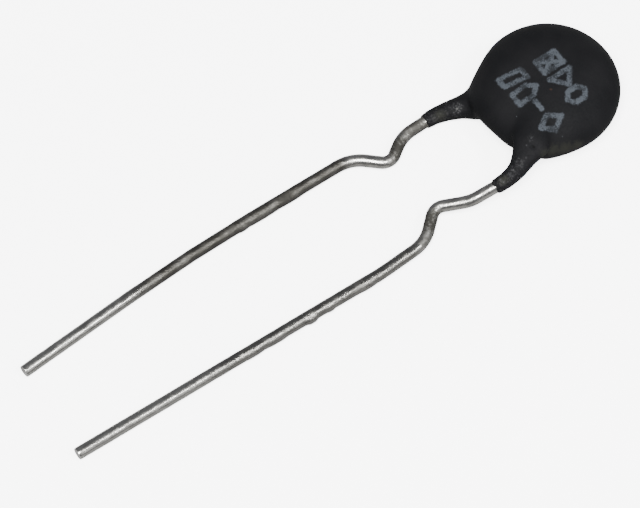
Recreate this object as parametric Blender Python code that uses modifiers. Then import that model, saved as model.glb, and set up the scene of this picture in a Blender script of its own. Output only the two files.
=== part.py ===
"""Disc thermistor with two kinked wire leads, lying on its back.

The frame is in metres with +Z up. The disc's axis is Z, the middle of its flat back rests at the
origin, and the leads run out along -Y. The printed face looks up, +Z.
"""

import math

import bmesh
import bpy
from mathutils import Matrix, Vector

# Sintered disc
CERAMIC_DIAMETER = 0.0082
CERAMIC_THICKNESS = 0.0016
CERAMIC_CHAMFER = 0.00012

# Fired silver faces of the disc
ELECTRODE_THICKNESS = 0.00004
ELECTRODE_MARGIN = 0.00025

# Running clearance between any two pieces
FIT_GAP = 0.00002

# Solder mound that holds a lead to its electrode
SOLDER_BED = 0.00006
SOLDER_WIDTH = 0.0021
SOLDER_HEIGHT = 0.00062
SOLDER_TAIL = 0.00035
SOLDER_EDGE = 0.0001

# Resin cover over the ceramic's rim, over the wire on a face, and the flat middle of each face
RIM_COVER = 0.0005
FACE_COVER = 0.00025
RIDGE_COVER = 0.0003
FLAT_DIAMETER = 0.0034

# Resin necks: wall over the wire at the cut end, halfway and at the root. The root stands out from
# the ceramic's edge and widens towards the other neck (inner) and away from it (outer). A web
# thickens it towards the disc's middle, save on its outer side, and the rim swells to meet it. Its
# spread is how many degrees of the rim it takes on each side.
NECK_END_WALL = 0.00008
NECK_MIDDLE_WALL = 0.00018
NECK_ROOT_WALL = 0.00022
FRONT_ROOT_OUT = 0.0006
FRONT_INNER_FLARE = 0.0006
FRONT_OUTER_FLARE = 0.0004
BACK_ROOT_OUT = 0.0011
BACK_INNER_FLARE = 0.0006
BACK_OUTER_FLARE = 0.00005
NECK_ROOT_WEB = 0.00035
RIM_SWELL = 0.00028
NECK_INNER_SPREAD = 20.0
NECK_OUTER_SPREAD = 11.0
FRONT_NECK_LENGTH = 0.0043
BACK_NECK_LENGTH = 0.00405

# Stations along a neck as shares of the way from its root to its end, and the share of the root's
# flare at each
NECK_STATIONS = (0.0, 0.26, 0.56, 0.83, 1.0)
NECK_FLARES = (1.0, 0.3, 0.0, 0.0, 0.0)

# Tinned wire, and how it lies on a face: the angle from -Y at which it passes the ceramic's edge,
# its lean there, and how far it reaches in from the edge
WIRE_DIAMETER = 0.0008
FRONT_EXIT_ANGLE = 41.0
BACK_EXIT_ANGLE = 38.5
FACE_LEAN = 19.0
FACE_REACH = 0.003
EDGE_RUN = 0.0002

# Knee in the neck, which brings the front wire down past the rim
FRONT_KNEE_SIDE = 0.00392
FRONT_KNEE_OUT = 0.00545
FRONT_KNEE_RISE = 0.0024
BACK_KNEE_SIDE = 0.00328
BACK_KNEE_OUT = 0.0064
BACK_KNEE_RISE = 0.00068
KNEE_RADIUS = 0.002

# Kink that stops the part on a board: neck end, inner point and outer shoulder of each lead
FRONT_NECK_SIDE = 0.00324
FRONT_NECK_OUT = 0.0085
FRONT_NECK_RISE = 0.0013
BACK_NECK_SIDE = 0.00331
BACK_NECK_OUT = 0.00895
BACK_NECK_RISE = 0.00064
FRONT_KINK_SIDE = 0.00205
FRONT_KINK_OUT = 0.01045
FRONT_KINK_RISE = 0.00085
BACK_KINK_SIDE = 0.00218
BACK_KINK_OUT = 0.01066
BACK_KINK_RISE = 0.0006
FRONT_SHOULDER_SIDE = 0.00368
FRONT_SHOULDER_OUT = 0.01235
FRONT_SHOULDER_RISE = 0.00074
BACK_SHOULDER_SIDE = 0.00399
BACK_SHOULDER_OUT = 0.0125
BACK_SHOULDER_RISE = 0.00057
KINK_RADIUS = 0.0008
SHOULDER_RADIUS = 0.0026

# Long legs: a slight bow in each, and the cut tips, which lie on the surface below
FRONT_BOW_SIDE = 0.00379
FRONT_BOW_OUT = 0.0158
BACK_BOW_SIDE = 0.00447
BACK_BOW_OUT = 0.0246
FRONT_TIP_SIDE = 0.00266
FRONT_TIP_OUT = 0.0384
BACK_TIP_SIDE = 0.00397
BACK_TIP_OUT = 0.0377
FRONT_BOW_RADIUS = 0.012
BACK_BOW_RADIUS = 0.12

# Fineness of the round forms
DISC_SIDES = 64
MOUND_SIDES = 24
ARC_STEP = 14.0
WIRE_RESOLUTION = 4
CAGE_COLUMNS = 16
CAGE_LEVELS = 2
SMOOTH_ANGLE = 35.0

# Forms that follow from the sizes above
CERAMIC_RADIUS = CERAMIC_DIAMETER / 2
ELECTRODE_RADIUS = CERAMIC_RADIUS - ELECTRODE_MARGIN
WIRE_RADIUS = WIRE_DIAMETER / 2
ELECTRODE_FACE = CERAMIC_THICKNESS / 2 + FIT_GAP + ELECTRODE_THICKNESS
SOLDER_BASE = ELECTRODE_FACE + FIT_GAP
WIRE_HEIGHT = SOLDER_BASE + SOLDER_BED + WIRE_RADIUS
COAT_RADIUS = CERAMIC_RADIUS + RIM_COVER
COAT_HALF = WIRE_HEIGHT + WIRE_RADIUS + FACE_COVER
NECK_COLUMN = CAGE_COLUMNS // 8

# Rings of the resin's cage, from the top pole down: share of the flat radius, or degrees round the rim
FLAT_SHARES = (0.0, 0.5)
RIM_ANGLES = (90.0, 60.0, 30.0, 0.0, -30.0, -60.0, -90.0)
RINGS = len(RIM_ANGLES) + 2 * len(FLAT_SHARES)
EQUATOR = RINGS // 2


def collection(name):
    made = bpy.data.collections.new(name)
    bpy.context.scene.collection.children.link(made)
    return made


def clear_scene():
    for obj in list(bpy.data.objects):
        bpy.data.objects.remove(obj, do_unlink=True)


def linear(channel):
    """One sRGB channel, 0 to 255, as the linear value that a shader takes."""
    share = channel / 255
    return share / 12.92 if share <= 0.04045 else ((share + 0.055) / 1.055) ** 2.4


def material(name, srgb, roughness, metallic):
    made = bpy.data.materials.new(name)
    made.use_nodes = True
    shader = made.node_tree.nodes["Principled BSDF"]
    shader.inputs["Base Color"].default_value = (*map(linear, srgb), 1)
    shader.inputs["Roughness"].default_value = roughness
    shader.inputs["Metallic"].default_value = metallic
    return made


def mesh_object(name, cage, home, finish=None):
    """An object made from a bmesh, which is freed."""
    mesh = bpy.data.meshes.new(name)
    cage.to_mesh(mesh)
    cage.free()
    mesh.shade_smooth()
    mesh.set_sharp_from_angle(angle=math.radians(SMOOTH_ANGLE))
    obj = bpy.data.objects.new(name, mesh)
    home.objects.link(obj)
    if finish:
        mesh.materials.append(finish)
    return obj


def as_cutter(obj):
    obj.hide_render = True
    obj.display_type = "WIRE"
    return obj


def cut(obj, cutter):
    modifier = obj.modifiers.new("cut_" + cutter.name, "BOOLEAN")
    modifier.operation = "DIFFERENCE"
    modifier.solver = "EXACT"
    modifier.object = cutter


def disc(name, radius, thickness, middle, home, finish=None):
    cage = bmesh.new()
    bmesh.ops.create_cone(
        cage,
        cap_ends=True,
        segments=DISC_SIDES,
        radius1=radius,
        radius2=radius,
        depth=thickness,
        matrix=Matrix.Translation((0, 0, middle)),
    )
    return mesh_object(name, cage, home, finish)


def rounded(corners):
    """The corners, given as (point, bend radius), as a path whose bends are true arcs."""
    path = [corners[0][0]]
    for before, here, after in zip(corners, corners[1:], corners[2:]):
        corner = here[0]
        back = before[0] - corner
        ahead = after[0] - corner
        half = back.angle(ahead) / 2
        tangent = min(here[1] / math.tan(half), 0.48 * back.length, 0.48 * ahead.length)
        radius = tangent * math.tan(half)
        back.normalize()
        ahead.normalize()
        centre = corner + (back + ahead).normalized() * (radius / math.sin(half))
        first = (corner + back * tangent - centre).normalized()
        last = (corner + ahead * tangent - centre).normalized()
        steps = max(2, math.ceil(math.degrees(math.pi - 2 * half) / ARC_STEP))
        for step in range(steps + 1):
            path.append(centre + first.slerp(last, step / steps) * radius)
    path.append(corners[-1][0])
    return path


def along(path, distance):
    """The point this far along a path, and the path's direction there."""
    for start, end in zip(path, path[1:]):
        length = (end - start).length
        if distance <= length:
            break
        distance -= length
    direction = (end - start).normalized()
    return start + direction * distance, direction


def exit_angle(side):
    return FRONT_EXIT_ANGLE if side > 0 else BACK_EXIT_ANGLE


def face_line(side):
    """Where a lead passes the ceramic's edge, and its direction outwards, seen from above."""
    turn = math.radians(exit_angle(side))
    lean = math.radians(FACE_LEAN)
    edge = Vector((side * math.sin(turn), -math.cos(turn), 0)) * CERAMIC_RADIUS
    return edge, Vector((side * math.sin(lean), -math.cos(lean), 0))


def lead_path(side, knee, neck, kink, shoulder, bow, bow_radius, tip):
    """One lead from its inner end to its cut tip. The front one has side 1, the back one -1."""
    edge, outwards = face_line(side)
    level = Vector((0, 0, COAT_HALF + side * WIRE_HEIGHT))
    inner = edge - outwards * FACE_REACH + level
    brow = edge + outwards * EDGE_RUN + level
    points = [(inner, 0), (brow, KNEE_RADIUS)]
    bends = ((knee, KNEE_RADIUS), (neck, SHOULDER_RADIUS), (kink, KINK_RADIUS))
    bends += ((shoulder, SHOULDER_RADIUS),)
    for place, radius in bends:
        points.append((Vector((side * place[0], -place[1], place[2])), radius))
    end = Vector((side * tip[0], -tip[1], WIRE_RADIUS))
    start = points[-1][0]
    share = (bow[1] - shoulder[1]) / (tip[1] - shoulder[1])
    rise = start.z + (end.z - start.z) * share
    points.append((Vector((side * bow[0], -bow[1], rise)), bow_radius))
    points.append((end, 0))
    return rounded(points)


def front_path():
    return lead_path(
        1,
        (FRONT_KNEE_SIDE, FRONT_KNEE_OUT, FRONT_KNEE_RISE),
        (FRONT_NECK_SIDE, FRONT_NECK_OUT, FRONT_NECK_RISE),
        (FRONT_KINK_SIDE, FRONT_KINK_OUT, FRONT_KINK_RISE),
        (FRONT_SHOULDER_SIDE, FRONT_SHOULDER_OUT, FRONT_SHOULDER_RISE),
        (FRONT_BOW_SIDE, FRONT_BOW_OUT),
        FRONT_BOW_RADIUS,
        (FRONT_TIP_SIDE, FRONT_TIP_OUT),
    )


def back_path():
    return lead_path(
        -1,
        (BACK_KNEE_SIDE, BACK_KNEE_OUT, BACK_KNEE_RISE),
        (BACK_NECK_SIDE, BACK_NECK_OUT, BACK_NECK_RISE),
        (BACK_KINK_SIDE, BACK_KINK_OUT, BACK_KINK_RISE),
        (BACK_SHOULDER_SIDE, BACK_SHOULDER_OUT, BACK_SHOULDER_RISE),
        (BACK_BOW_SIDE, BACK_BOW_OUT),
        BACK_BOW_RADIUS,
        (BACK_TIP_SIDE, BACK_TIP_OUT),
    )


def wire(name, path, radius, home, finish=None):
    """A round wire along a path, as a curve with filled caps."""
    curve = bpy.data.curves.new(name, "CURVE")
    curve.dimensions = "3D"
    curve.bevel_depth = radius
    curve.bevel_resolution = WIRE_RESOLUTION
    curve.use_fill_caps = True
    spline = curve.splines.new("POLY")
    spline.points.add(len(path) - 1)
    for point, place in zip(spline.points, path):
        point.co = (*place, 1)
    obj = bpy.data.objects.new(name, curve)
    home.objects.link(obj)
    if finish:
        curve.materials.append(finish)
    return obj


def wire_cutter(name, path, home):
    """The bore for a lead: its wire grown by the clearance, and as much longer at the inner end."""
    inwards = (path[0] - path[1]).normalized() * FIT_GAP
    longer = [path[0] + inwards, *path[1:]]
    curve = wire(name + "_guide", longer, WIRE_RADIUS + FIT_GAP, home)
    graph = bpy.context.evaluated_depsgraph_get()
    mesh = bpy.data.meshes.new_from_object(curve.evaluated_get(graph))
    cage = bmesh.new()
    cage.from_mesh(mesh)
    bmesh.ops.remove_doubles(cage, verts=cage.verts, dist=1e-7)
    cage.to_mesh(mesh)
    cage.free()
    obj = bpy.data.objects.new(name, mesh)
    obj.matrix_world = curve.matrix_world.copy()
    home.objects.link(obj)
    bpy.data.objects.remove(curve, do_unlink=True)
    return as_cutter(obj)


def solder_mound(name, side, grow, home, finish=None):
    """Half an ellipsoid on the electrode, lying along the lead. A cutter is grown by the clearance."""
    edge, outwards = face_line(side)
    near = ELECTRODE_MARGIN + SOLDER_EDGE - grow
    far = FACE_REACH + SOLDER_TAIL + grow
    middle = edge - outwards * (near + far) / 2
    base = SOLDER_BASE - grow
    size = ((far - near) / 2, SOLDER_WIDTH / 2 + grow, SOLDER_HEIGHT + 2 * grow)
    place = Matrix.Translation((middle.x, middle.y, COAT_HALF + side * base))
    turn = Matrix.Rotation(math.atan2(outwards.y, outwards.x), 4, "Z")
    cage = bmesh.new()
    bmesh.ops.create_uvsphere(cage, u_segments=MOUND_SIDES, v_segments=MOUND_SIDES // 2, radius=1)
    cut_off = bmesh.ops.bisect_plane(
        cage,
        geom=cage.verts[:] + cage.edges[:] + cage.faces[:],
        dist=1e-6,
        plane_co=(0, 0, 0),
        plane_no=(0, 0, side),
        clear_inner=True,
    )
    rim = [item for item in cut_off["geom_cut"] if isinstance(item, bmesh.types.BMEdge)]
    bmesh.ops.contextual_create(cage, geom=rim)
    bmesh.ops.transform(cage, verts=cage.verts, matrix=place @ turn @ Matrix.Diagonal((*size, 1)))
    bmesh.ops.recalc_face_normals(cage, faces=cage.faces)
    return mesh_object(name, cage, home, finish)


def pull_in(step):
    """How far a subdivided ring draws in from its cage, for cage points this many degrees apart."""
    return (4 + 2 * math.cos(math.radians(step))) / 6


def column_angle(column):
    """Degrees from -Y of a cage column. The necks grow from columns that stand at the exit angle."""
    side = math.copysign(1, column)
    number = abs(column) - NECK_COLUMN
    inner = exit_angle(side) - NECK_INNER_SPREAD
    outer = exit_angle(side) + NECK_OUTER_SPREAD
    if number < 0:
        return side * inner * abs(column) / (NECK_COLUMN - 1)
    if number == 0:
        return side * exit_angle(side)
    rest = (180 - outer) / (CAGE_COLUMNS // 2 - NECK_COLUMN - 1)
    return side * (outer + rest * (number - 1))


def ring_size(ring):
    """Radius and height above the middle plane of a cage ring, before its columns draw in."""
    flat = FLAT_DIAMETER / 2
    level = min(ring, RINGS - 1 - ring)
    if level < len(FLAT_SHARES):
        height = COAT_HALF if ring < EQUATOR else -COAT_HALF
        return flat * FLAT_SHARES[level], height
    angle = math.radians(RIM_ANGLES[ring - len(FLAT_SHARES)])
    reach = (COAT_RADIUS - flat) / pull_in(RIM_ANGLES[0] - RIM_ANGLES[1])
    return flat + reach * math.cos(angle), COAT_HALF * math.sin(angle)


def cage_point(column, ring):
    angle = math.radians(column_angle(column))
    gap_before = abs(column_angle(column) - column_angle(column - 1))
    gap_after = abs(column_angle(column + 1) - column_angle(column))
    radius, height = ring_size(ring)
    radius /= pull_in((gap_before + gap_after) / 2)
    return Vector((radius * math.sin(angle), -radius * math.cos(angle), COAT_HALF + height))


def swells(column, ring):
    """The side of the neck that draws this cage point of the rim outwards, or 0."""
    for side in (1, -1):
        inner = column == side * (NECK_COLUMN - 1) and ring in (EQUATOR, EQUATOR - side)
        over_back = side < 0 and column == side * NECK_COLUMN and ring == EQUATOR
        if inner or over_back:
            return side
    return 0


def neck_sizes():
    """The neck's stations: share of its way, the resin's radius there, and its share of the flare."""
    root = WIRE_RADIUS + NECK_ROOT_WALL
    middle = WIRE_RADIUS + NECK_MIDDLE_WALL
    end = WIRE_RADIUS + NECK_END_WALL
    radii = (root, (root + middle) / 2, middle, (middle + end) / 2, end)
    return zip(NECK_STATIONS, radii, NECK_FLARES)


def grow_neck(cage, side, path, root, length):
    """Extrudes four cage faces at the rim into a neck that follows a lead."""
    column = cage.verts.layers.int["column"]
    ring = cage.verts.layers.int["ring"]
    home_ring = EQUATOR - side
    inner_flare = FRONT_INNER_FLARE if side > 0 else BACK_INNER_FLARE
    outer_flare = FRONT_OUTER_FLARE if side > 0 else BACK_OUTER_FLARE
    patch = []
    for face in cage.faces:
        offsets = [(v[column] - side * NECK_COLUMN, v[ring] - home_ring) for v in face.verts]
        if all(abs(across) <= 1 and abs(down) <= 1 for across, down in offsets):
            patch.append(face)
    for share, radius, flare in neck_sizes():
        grown = bmesh.ops.extrude_face_region(cage, geom=patch)["geom"]
        bmesh.ops.delete(cage, geom=patch, context="FACES")
        patch = [item for item in grown if isinstance(item, bmesh.types.BMFace)]
        centre, outwards = along(path, FACE_REACH + root + share * (length - root))
        across = Vector((0, 0, 1)).cross(outwards).normalized()
        upwards = outwards.cross(across)
        for vert in {vert for face in patch for vert in face.verts}:
            x = side * vert[column] - NECK_COLUMN
            y = home_ring - vert[ring]
            if x and y:
                x *= math.sqrt(0.5)
                y *= math.sqrt(0.5)
            width = radius + flare * (outer_flare if x > 0 else inner_flare)
            height = radius + flare * (NECK_ROOT_WEB if side * y < 0 and x <= 0 else 0)
            vert.co = centre + (across * side * x * width + upwards * y * height) / pull_in(45)
    crease = cage.edges.layers.float.get("crease_edge")
    for edge in {edge for face in patch for edge in face.edges}:
        if len([face for face in edge.link_faces if face in patch]) == 1:
            edge[crease] = 1


def resin_form(name, home, finish):
    """The dipped resin: a lens drawn out along both leads, as a cage that is subdivided."""
    cage = bmesh.new()
    bmesh.ops.create_uvsphere(cage, u_segments=CAGE_COLUMNS, v_segments=RINGS - 1, radius=1)
    cage.edges.layers.float.new("crease_edge")
    column = cage.verts.layers.int.new("column")
    ring = cage.verts.layers.int.new("ring")
    for vert in cage.verts:
        turn = math.atan2(vert.co.x, -vert.co.y) if vert.co.xy.length > 1e-6 else 0.0
        vert[column] = round(turn / (2 * math.pi) * CAGE_COLUMNS)
        vert[ring] = round(vert.co.angle(Vector((0, 0, 1))) / math.pi * (RINGS - 1))
    for vert in cage.verts:
        vert.co = cage_point(vert[column], vert[ring])
        for side in (1, -1):
            if vert[column] == side * NECK_COLUMN and vert[ring] == EQUATOR - 2 * side:
                crest = WIRE_HEIGHT + WIRE_RADIUS + RIDGE_COVER
                vert.co.z = COAT_HALF + side * crest
        towards = swells(vert[column], vert[ring])
        if towards:
            vert.co += face_line(towards)[1] * RIM_SWELL
    grow_neck(cage, 1, front_path(), FRONT_ROOT_OUT, FRONT_NECK_LENGTH)
    grow_neck(cage, -1, back_path(), BACK_ROOT_OUT, BACK_NECK_LENGTH)
    bmesh.ops.recalc_face_normals(cage, faces=cage.faces)
    obj = mesh_object(name, cage, home, finish)
    soft = obj.modifiers.new("soften", "SUBSURF")
    soft.levels = CAGE_LEVELS
    soft.render_levels = CAGE_LEVELS
    return obj


def make_part():
    clear_scene()
    parts = collection("ntc_thermistor")
    cutters = collection("cutters")
    resin = material("black_resin", (38, 38, 41), 0.55, 0)
    ceramic = material("dark_ceramic", (62, 60, 58), 0.75, 0)
    silver = material("fired_silver", (198, 196, 190), 0.45, 1)
    solder = material("solder", (176, 178, 180), 0.35, 1)
    tin = material("tinned_wire", (168, 167, 163), 0.38, 1)

    body = disc("ceramic_disc", CERAMIC_RADIUS, CERAMIC_THICKNESS, COAT_HALF, parts, ceramic)
    chamfer = body.modifiers.new("chamfer", "BEVEL")
    chamfer.width = CERAMIC_CHAMFER
    chamfer.segments = 2
    chamfer.limit_method = "ANGLE"
    chamfer.angle_limit = math.radians(60)

    for name, side in (("front_electrode", 1), ("back_electrode", -1)):
        middle = COAT_HALF + side * (ELECTRODE_FACE - ELECTRODE_THICKNESS / 2)
        disc(name, ELECTRODE_RADIUS, ELECTRODE_THICKNESS, middle, parts, silver)

    coat = resin_form("resin_coating", parts, resin)
    stack = 2 * (ELECTRODE_FACE + FIT_GAP)
    room = disc("disc_room", CERAMIC_RADIUS + FIT_GAP, stack, COAT_HALF, cutters)
    cut(coat, as_cutter(room))

    for name, side, path in (("front", 1, front_path()), ("back", -1, back_path())):
        wire(name + "_lead", path, WIRE_RADIUS, parts, tin)
        bore = wire_cutter(name + "_bore", path, cutters)
        mound = solder_mound(name + "_solder", side, 0, parts, solder)
        cut(mound, bore)
        room = solder_mound(name + "_solder_room", side, FIT_GAP, cutters)
        cut(coat, as_cutter(room))
        cut(coat, bore)


make_part()
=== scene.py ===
import math

import bmesh
import bpy
import numpy as np
from bpy.props import FloatProperty, FloatVectorProperty, PointerProperty
from mathutils import Matrix, Vector, noise


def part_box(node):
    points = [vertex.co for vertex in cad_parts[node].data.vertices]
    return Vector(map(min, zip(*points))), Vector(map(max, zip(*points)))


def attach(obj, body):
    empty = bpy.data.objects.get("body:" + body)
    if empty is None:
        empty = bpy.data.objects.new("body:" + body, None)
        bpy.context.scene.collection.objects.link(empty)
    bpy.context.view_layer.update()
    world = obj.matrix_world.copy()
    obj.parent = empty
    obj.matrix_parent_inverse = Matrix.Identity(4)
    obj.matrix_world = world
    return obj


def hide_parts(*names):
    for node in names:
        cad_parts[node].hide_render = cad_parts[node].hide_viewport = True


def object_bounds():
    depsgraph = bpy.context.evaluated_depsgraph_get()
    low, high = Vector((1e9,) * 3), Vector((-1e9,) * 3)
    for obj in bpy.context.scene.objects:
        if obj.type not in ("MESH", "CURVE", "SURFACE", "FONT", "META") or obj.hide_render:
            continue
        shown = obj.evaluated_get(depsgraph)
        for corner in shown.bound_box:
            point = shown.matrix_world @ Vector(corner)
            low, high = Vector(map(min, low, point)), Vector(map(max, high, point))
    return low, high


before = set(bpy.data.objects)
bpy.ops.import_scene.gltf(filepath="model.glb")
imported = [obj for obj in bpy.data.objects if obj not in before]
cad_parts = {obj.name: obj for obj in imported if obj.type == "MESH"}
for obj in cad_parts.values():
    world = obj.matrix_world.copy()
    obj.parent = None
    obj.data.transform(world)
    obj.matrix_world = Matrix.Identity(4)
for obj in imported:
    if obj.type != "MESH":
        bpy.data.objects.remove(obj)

# The looks of a resin-dipped disc thermistor: black coat with worn print, two tinned wires, stage.
# Everything is in metres in the CAD's frame: disc axis Z, back on the floor, leads along -Y.

bl_info = {
    "name": "Disc thermistor",
    "version": (1, 0, 0),
    "blender": (4, 5, 0),
    "location": "View3D > Sidebar > Thermistor",
    "description": "Dresses a packed disc thermistor with its resin skin, tinned wires and stage",
    "category": "Object",
}

CAD_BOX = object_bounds()
COAT_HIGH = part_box("resin_coating")[1]

MM = 0.001
MM_PER_METRE = 1000.0

# How a lead runs over the ceramic's edge, and the wire with its tin, in metres and degrees
CERAMIC_RADIUS = 0.0041
FACE_LEAN = 19.0
FACE_REACH = 0.003
EDGE_RUN = 0.0002
EDGE_BEND = 0.002
WIRE_HEIGHT = 0.00134
WIRE_DIAMETER = 0.00081
# The leads as the CAD's lie, in metres: the necks, the bends (side, out, rise, radius), the tips
LEADS = {
    "front": {
        "side": 1,
        "exit": 41.0,
        "inner_flare": 0.0006,
        "outer_flare": 0.0008,
        "root": 0.0006,
        "swell": (1,),
        "neck": 0.0043,
        "bends": (
            (0.00392, 0.00545, 0.0024, 0.002),
            (0.00324, 0.0085, 0.0013, 0.0026),
            (0.00205, 0.01045, 0.00085, 0.0008),
            (0.00368, 0.01235, 0.00074, 0.0026),
            (0.00379, 0.0158, 0.000694, 0.012),
        ),
        "tip": (0.00266, 0.0384, 0.0004),
    },
    "back": {
        "side": -1,
        "exit": 38.5,
        "inner_flare": 0.0006,
        "outer_flare": 0.00005,
        "root": 0.0011,
        "swell": (1, 2),
        "neck": 0.00405,
        "bends": (
            (0.00328, 0.0064, 0.00068, 0.002),
            (0.00331, 0.00895, 0.00064, 0.0026),
            (0.00218, 0.01066, 0.0006, 0.0008),
            (0.00399, 0.0125, 0.00057, 0.0026),
            (0.00447, 0.0246, 0.000488, 0.12),
        ),
        "tip": (0.00397, 0.0377, 0.0004),
    },
}

SIDES = {1: "front", -1: "back"}
# The most of a straight that a bend at its end may take
BEND_SHARE = 0.48

# What every colour that a user sets has in common
COLOUR = {"subtype": "COLOR", "size": 4, "min": 0, "max": 1}

# Cage of the resin: columns round the disc, rings from pole to pole, and the neck's stations
CAGE_COLUMNS = 16
NECK_COLUMN = 2
FLAT_SHARES = (0.0, 0.5)
RIM_ANGLES = (90.0, 60.0, 30.0, 0.0, -30.0, -60.0, -90.0)
RINGS = len(RIM_ANGLES) + 2 * len(FLAT_SHARES)
EQUATOR = RINGS // 2
FLAT_RADIUS = 0.0017
RIDGE_COVER = 0.0003
ROOT_WEB = 0.00035
RIM_SWELL = 0.00028
INNER_SPREAD = 20.0
OUTER_SPREAD = 11.0
NECK_STATIONS = (0.0, 0.26, 0.56, 0.83, 1.0)
NECK_WALLS = (0.00022, 0.0002, 0.00018, 0.00013, 0.00008)
NECK_FLARES = (1.0, 0.3, 0.0, 0.0, 0.0)
NECK_STEP = 45.0
NECK_END_CREASE = 0.6
SKIN_LEVELS = 4


class ResinSettings(bpy.types.PropertyGroup):
    """Sizes and colours of the dipped resin"""

    radius: FloatProperty(
        name="Disc radius", description="Radius of the dipped disc", default=COAT_HIGH.y, unit="LENGTH"
    )
    half_height: FloatProperty(
        name="Half height",
        description="Half of the dipped disc's thickness",
        default=COAT_HIGH.z / 2,
        unit="LENGTH",
    )
    unevenness: FloatProperty(
        name="Unevenness", description="Depth of the coat's broad hollows", default=0.00002, unit="LENGTH"
    )
    neck_lumps: FloatProperty(
        name="Neck lumps", description="Height of the lumps on the necks", default=0.000035, unit="LENGTH"
    )
    ragged_end: FloatProperty(
        name="Ragged end",
        description="How far a neck's edge wanders along its wire",
        default=0.00012,
        unit="LENGTH",
    )
    colour: FloatVectorProperty(
        name="Resin",
        description="Colour of the dipped resin",
        default=(0.0014, 0.0015, 0.0019, 1),
        **COLOUR,
    )
    haze: FloatVectorProperty(
        name="Haze",
        description="Paler colour of the resin where it is hazy",
        default=(0.003, 0.003, 0.0034, 1),
        **COLOUR,
    )
    # Painted sheen: a paler olive that stands in for reflected light on the rim
    painted_sheen: FloatVectorProperty(
        name="Sheen", description="Colour of the olive sheen", default=(0.0085, 0.0087, 0.007, 1), **COLOUR
    )
    scuff: FloatVectorProperty(
        name="Scuff",
        description="Colour of the resin where it is scuffed",
        default=(0.045, 0.045, 0.046, 1),
        **COLOUR,
    )
    ink: FloatVectorProperty(
        name="Ink", description="Colour of the worn print", default=(0.031, 0.0355, 0.0415, 1), **COLOUR
    )


class WireSettings(bpy.types.PropertyGroup):
    """Sizes and colours of the tinned wires"""

    diameter: FloatProperty(
        name="Diameter", description="Diameter of the tinned wire", default=WIRE_DIAMETER, unit="LENGTH"
    )
    ripple: FloatProperty(
        name="Ripple", description="Height of the tin's ripples", default=0.000008, unit="LENGTH"
    )
    tin: FloatVectorProperty(
        name="Tin", description="Colour of clean tin", default=(0.24, 0.235, 0.22, 1), **COLOUR
    )
    stain: FloatVectorProperty(
        name="Stain", description="Colour of stained tin", default=(0.042, 0.0405, 0.036, 1), **COLOUR
    )


class StageSettings(bpy.types.PropertyGroup):
    """The floor's colour, the camera's place and the light"""

    floor: FloatVectorProperty(
        name="Floor", description="Colour of the floor", default=(0.86, 0.86, 0.86, 1), **COLOUR
    )
    azimuth: FloatProperty(
        name="Camera azimuth",
        description="Turn of the camera from the front",
        default=math.radians(53.5),
        subtype="ANGLE",
    )
    elevation: FloatProperty(
        name="Camera elevation",
        description="Angle of the camera over the floor",
        default=math.radians(61.5),
        subtype="ANGLE",
    )
    distance: FloatProperty(
        name="Camera distance",
        description="Distance of the camera from the middle of its view",
        default=0.559,
        unit="LENGTH",
    )
    light: FloatProperty(
        name="Light", description="Share of the lamps' full power", default=1.0, subtype="FACTOR", min=0
    )


def rounded(corners, step):
    """The corners, given as (point, bend radius), as a path whose bends are true arcs."""
    path = [corners[0][0]]
    for before, here, after in zip(corners, corners[1:], corners[2:]):
        corner = here[0]
        back = before[0] - corner
        ahead = after[0] - corner
        half = back.angle(ahead) / 2
        most = BEND_SHARE * min(back.length, ahead.length)
        tangent = min(here[1] / math.tan(half), most)
        radius = tangent * math.tan(half)
        back.normalize()
        ahead.normalize()
        centre = corner + (back + ahead).normalized() * (radius / math.sin(half))
        first = (corner + back * tangent - centre).normalized()
        last = (corner + ahead * tangent - centre).normalized()
        steps = max(2, math.ceil(math.degrees(math.pi - 2 * half) / step))
        for number in range(steps + 1):
            path.append(centre + first.slerp(last, number / steps) * radius)
    path.append(corners[-1][0])
    return path


def along(path, distance):
    """The point this far along a path, and the path's direction there."""
    for start, end in zip(path, path[1:]):
        length = (end - start).length
        if distance <= length:
            break
        distance -= length
    direction = (end - start).normalized()
    return start + direction * distance, direction


def path_length(path):
    """The length of a path."""
    return sum((end - start).length for start, end in zip(path, path[1:]))


def face_line(lead):
    """Where a lead passes the ceramic's edge, and its direction outwards, seen from above."""
    turn = math.radians(lead["exit"])
    lean = math.radians(FACE_LEAN)
    edge = Vector((lead["side"] * math.sin(turn), -math.cos(turn), 0)) * CERAMIC_RADIUS
    return edge, Vector((lead["side"] * math.sin(lean), -math.cos(lean), 0))


def lead_path(lead, middle, step=3.0):
    """One lead from its solder to its cut tip."""
    side = lead["side"]
    edge, outwards = face_line(lead)
    level = Vector((0, 0, middle + side * WIRE_HEIGHT))
    corners = [(edge - outwards * FACE_REACH + level, 0), (edge + outwards * EDGE_RUN + level, EDGE_BEND)]
    for across, out, rise, radius in lead["bends"]:
        corners.append((Vector((side * across, -out, rise)), radius))
    across, out, rise = lead["tip"]
    corners.append((Vector((side * across, -out, rise)), 0))
    return rounded(corners, step)


def pull_in(step):
    """How far a subdivided ring draws in from its cage, for cage points this many degrees apart."""
    return (4 + 2 * math.cos(math.radians(step))) / 6


def column_angle(column):
    """Degrees from -Y of a cage column. The necks grow from columns that stand at the exit angle."""
    side = math.copysign(1, column)
    number = abs(column) - NECK_COLUMN
    exit_angle = LEADS[SIDES[side]]["exit"]
    if number < 0:
        return side * (exit_angle - INNER_SPREAD) * abs(column) / (NECK_COLUMN - 1)
    if number == 0:
        return side * exit_angle
    outer = exit_angle + OUTER_SPREAD
    rest = (180 - outer) / (CAGE_COLUMNS // 2 - NECK_COLUMN - 1)
    return side * (outer + rest * (number - 1))


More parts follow.
